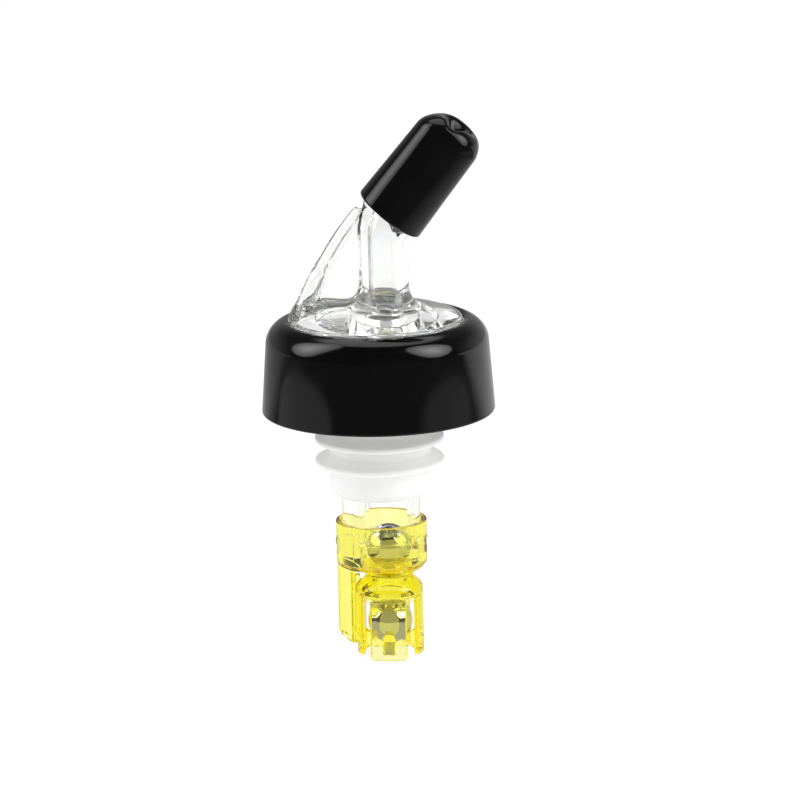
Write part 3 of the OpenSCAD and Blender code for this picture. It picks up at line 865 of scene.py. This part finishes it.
# %% [markdown]
# ## Studio
# Two soft boxes stand left and right, 70 to 85 degrees round and a little under 40 degrees up,
# as their reflections in the collar's shoulder show. They are oval and brightest in the
# middle, like cloth with a lamp behind it. A light has its own node tree, where Geometry's
# Parametric output says where on the light's face a ray starts.

# %% A soft box
EDGE_GLOW, BOX_DISTANCE = 0.35, 0.6


def toward(around, above):
    around, above = math.radians(around), math.radians(above)
    out = math.cos(above)
    return Vector((math.sin(around) * out, -math.cos(around) * out, math.sin(above)))


def soft_box(name, around, above, wide, tall, turn, glow):
    light = bpy.data.lights.new(name, "AREA")
    light.shape, light.size, light.size_y = "ELLIPSE", wide, tall
    light.energy = glow * math.pi * math.pi / 4 * wide * tall
    light.use_nodes = True
    nodes, links = light.node_tree.nodes, light.node_tree.links
    middle = nodes.new("ShaderNodeVectorMath")
    middle.operation = "DISTANCE"
    middle.inputs[1].default_value = (0.5, 0.5, 0)
    links.new(nodes.new("ShaderNodeNewGeometry").outputs["Parametric"], middle.inputs[0])
    fade = nodes.new("ShaderNodeMapRange")
    fade.interpolation_type = "SMOOTHSTEP"
    fade.inputs["From Max"].default_value = 0.5
    fade.inputs["To Min"].default_value, fade.inputs["To Max"].default_value = 1.0, EDGE_GLOW
    links.new(middle.outputs["Value"], fade.inputs["Value"])
    links.new(fade.outputs["Result"], nodes["Emission"].inputs["Strength"])
    obj = bpy.data.objects.new(name, light)
    obj.location = toward(around, above) * BOX_DISTANCE
    obj.rotation_mode = "QUATERNION"
    obj.rotation_quaternion = (toward(around, above).to_track_quat("Z", "Y")
                               @ Quaternion((0, 0, 1), math.radians(turn)))
    bpy.context.scene.collection.objects.link(obj)
    print(name, "radiance", glow, "power", round(light.energy, 2), "W")


# %% The two soft boxes
soft_box("soft_box_left", -85, 39, 0.40, 0.74, 12, 4.5)
soft_box("soft_box_right", 70, 36, 0.44, 0.66, 0, 5.5)

# %% [markdown]
# World and floor are built from a few tools. `fade_by` goes smoothly from one brightness to
# another while a value goes from `low` to `high`. `near_point` does so with the distance from a
# point. `by_ray` shows each kind of ray its own shader.

# %% Tools for brightness
def fade_by(tree, value, low, high, at_low, at_high):
    fade = tree.nodes.new("ShaderNodeMapRange")
    fade.interpolation_type = "SMOOTHSTEP"
    fade.inputs["From Min"].default_value, fade.inputs["From Max"].default_value = low, high
    fade.inputs["To Min"].default_value, fade.inputs["To Max"].default_value = at_low, at_high
    tree.links.new(value, fade.inputs["Value"])
    return fade.outputs["Result"]


def maths(tree, kind, a, b):
    node = tree.nodes.new("ShaderNodeMath")
    node.operation = kind
    tree.links.new(a, node.inputs[0])
    tree.links.new(b, node.inputs[1])
    return node.outputs["Value"]


def near_point(tree, vector, point, inner, outer, bright, dark):
    reach = tree.nodes.new("ShaderNodeVectorMath")
    reach.operation = "DISTANCE"
    reach.inputs[1].default_value = point
    tree.links.new(vector, reach.inputs[0])
    return fade_by(tree, reach.outputs["Value"], inner, outer, bright, dark)


def white_light(tree, kind, strength):
    glow = tree.nodes.new(kind)
    glow.inputs["Color"].default_value = (1, 1, 1, 1)
    if isinstance(strength, float):
        glow.inputs["Strength"].default_value = strength
    else:
        tree.links.new(strength, glow.inputs["Strength"])
    return glow.outputs[0]


def by_ray(tree, otherwise, glossy, through, camera_sees):
    ray = tree.nodes.new("ShaderNodeLightPath")
    shader = otherwise
    for kind, other in (("Glossy", glossy), ("Transmission", through), ("Camera", camera_sees)):
        mix = tree.nodes.new("ShaderNodeMixShader")
        tree.links.new(ray.outputs[f"Is {kind} Ray"], mix.inputs["Fac"])
        tree.links.new(shader, mix.inputs[1])
        tree.links.new(other, mix.inputs[2])
        shader = mix.outputs["Shader"]
    return shader


def split_of(tree, vector):
    split = tree.nodes.new("ShaderNodeSeparateXYZ")
    tree.links.new(vector, split.inputs["Vector"])
    return [split.outputs[axis] for axis in "XYZ"]


# %% [markdown]
# The world is the room. Its brightness depends on the direction alone: `sideways` to the right,
# `away` from the camera, and `height`. The camera sees plain white. Clear plastic shows the
# same white, but for the photographer's dark side, which gives it its dark accents, and two
# bright panels at the sides. Gloss black needs a dimmer room, or it turns grey: for it only the
# low part of the white sweep behind the pourer is bright, and a panel overhead.

# %% World
world = bpy.data.worlds.new("studio")
bpy.context.scene.world = world
world.use_nodes = True
tree = world.node_tree
tree.nodes.clear()
direction = tree.nodes.new("ShaderNodeTexCoord").outputs["Generated"]
sideways, away, height = split_of(tree, direction)
soft = white_light(tree, "ShaderNodeBackground", fade_by(tree, away, -0.85, -0.4, 0.6, 0.55))

sweep = maths(tree, "MULTIPLY", fade_by(tree, away, 0.0, 0.6, 0.08, 1.0),
              fade_by(tree, height, 0.15, 0.6, 0.5, 0.12))
sweep = maths(tree, "MULTIPLY", sweep, fade_by(tree, sideways, -0.5, 0.5, 0.55, 0.85))
overhead = near_point(tree, direction, (0.0, 0.35, 0.93), 0.35, 0.5, 1.3, 0.0)
mirrored = white_light(tree, "ShaderNodeBackground", maths(tree, "MAXIMUM", sweep, overhead))

lit = fade_by(tree, away, -0.7, -0.1, 0.5, 1.0)
for side in (-0.89, 0.89):
    panel = near_point(tree, direction, (side, 0, 0.45), 0.3, 0.45, 2.2, 0.0)
    lit = maths(tree, "MAXIMUM", lit, panel)
through = white_light(tree, "ShaderNodeBackground", lit)

white = white_light(tree, "ShaderNodeBackground", 1.0)
out = tree.nodes.new("ShaderNodeOutputWorld")
tree.links.new(by_ray(tree, soft, mirrored, through, white), out.inputs["Surface"])
print("the world has", len(tree.nodes), "nodes")

# %% [markdown]
# The floor is pale. The camera sees it as almost white, with only a breath of the shadow. What
# is glossy mirrors a white floor behind the pourer, a dark one elsewhere, and a few round white
# reflectors: the one on the left makes the grey patch low on the collar. A reflector is given
# by its place, the radii in metres between which it fades, and its brightness.

# %% Floor
FLOOR_SIZE, FLOOR_GAP, FLOOR_DARK, SHADOW_SHARE = 8, 0.05, 0.06, 0.25
REFLECTORS = (((0, 0.05, 0), 0.08, 0.2, 0.6), ((-0.27, -0.07, 0), 0.14, 0.17, 0.42),
              ((0.27, -0.07, 0), 0.10, 0.17, 0.33))
bpy.ops.mesh.primitive_plane_add(size=FLOOR_SIZE, location=(0, 0, (LEG_END - FLOOR_GAP) * MM))
floor = bpy.context.object
floor.name = "floor"
paint = bpy.data.materials.new("pale_floor")
paint.use_nodes = True
tree = paint.node_tree
tree.nodes.clear()
place = tree.nodes.new("ShaderNodeTexCoord").outputs["Object"]
sideways, away, _ = split_of(tree, place)
mirrored = maths(tree, "MULTIPLY", fade_by(tree, away, 0.05, 0.16, 0.0, 1.0),
                 fade_by(tree, sideways, -0.2, 0.2, 0.4, 0.75))
for point, inner, outer, bright in REFLECTORS:
    reflector = near_point(tree, place, point, inner, outer, bright, FLOOR_DARK)
    mirrored = maths(tree, "MAXIMUM", mirrored, reflector)
mirrored = white_light(tree, "ShaderNodeEmission", mirrored)

plain = tree.nodes.new("ShaderNodeBsdfDiffuse")
plain.inputs["Color"].default_value = (0.85, 0.85, 0.85, 1)
mix = tree.nodes.new("ShaderNodeMixShader")
mix.inputs["Fac"].default_value = SHADOW_SHARE
tree.links.new(white_light(tree, "ShaderNodeEmission", 1.17), mix.inputs[1])
tree.links.new(plain.outputs["BSDF"], mix.inputs[2])
seen = mix.outputs["Shader"]

soft = white_light(tree, "ShaderNodeEmission", 1.1)
out = tree.nodes.new("ShaderNodeOutputMaterial")
tree.links.new(by_ray(tree, soft, mirrored, seen, seen), out.inputs["Surface"])
floor.data.materials.append(paint)
print("the floor lies", FLOOR_GAP, "mm under the legs")

# %% [markdown]
# ## Light paths
# A ray that enters a moulding with so many walls is turned back inside it many times before it
# comes out. Where it is stopped early, clear plastic gets black lines that no real one has, so
# the scene allows 32 turns.

# %% Light paths
cycles = bpy.context.scene.cycles
cycles.max_bounces = cycles.transmission_bounces = cycles.glossy_bounces = 32
print("turns allowed:", cycles.max_bounces)

# %% Colour management
bpy.context.scene.view_settings.view_transform = "Standard"
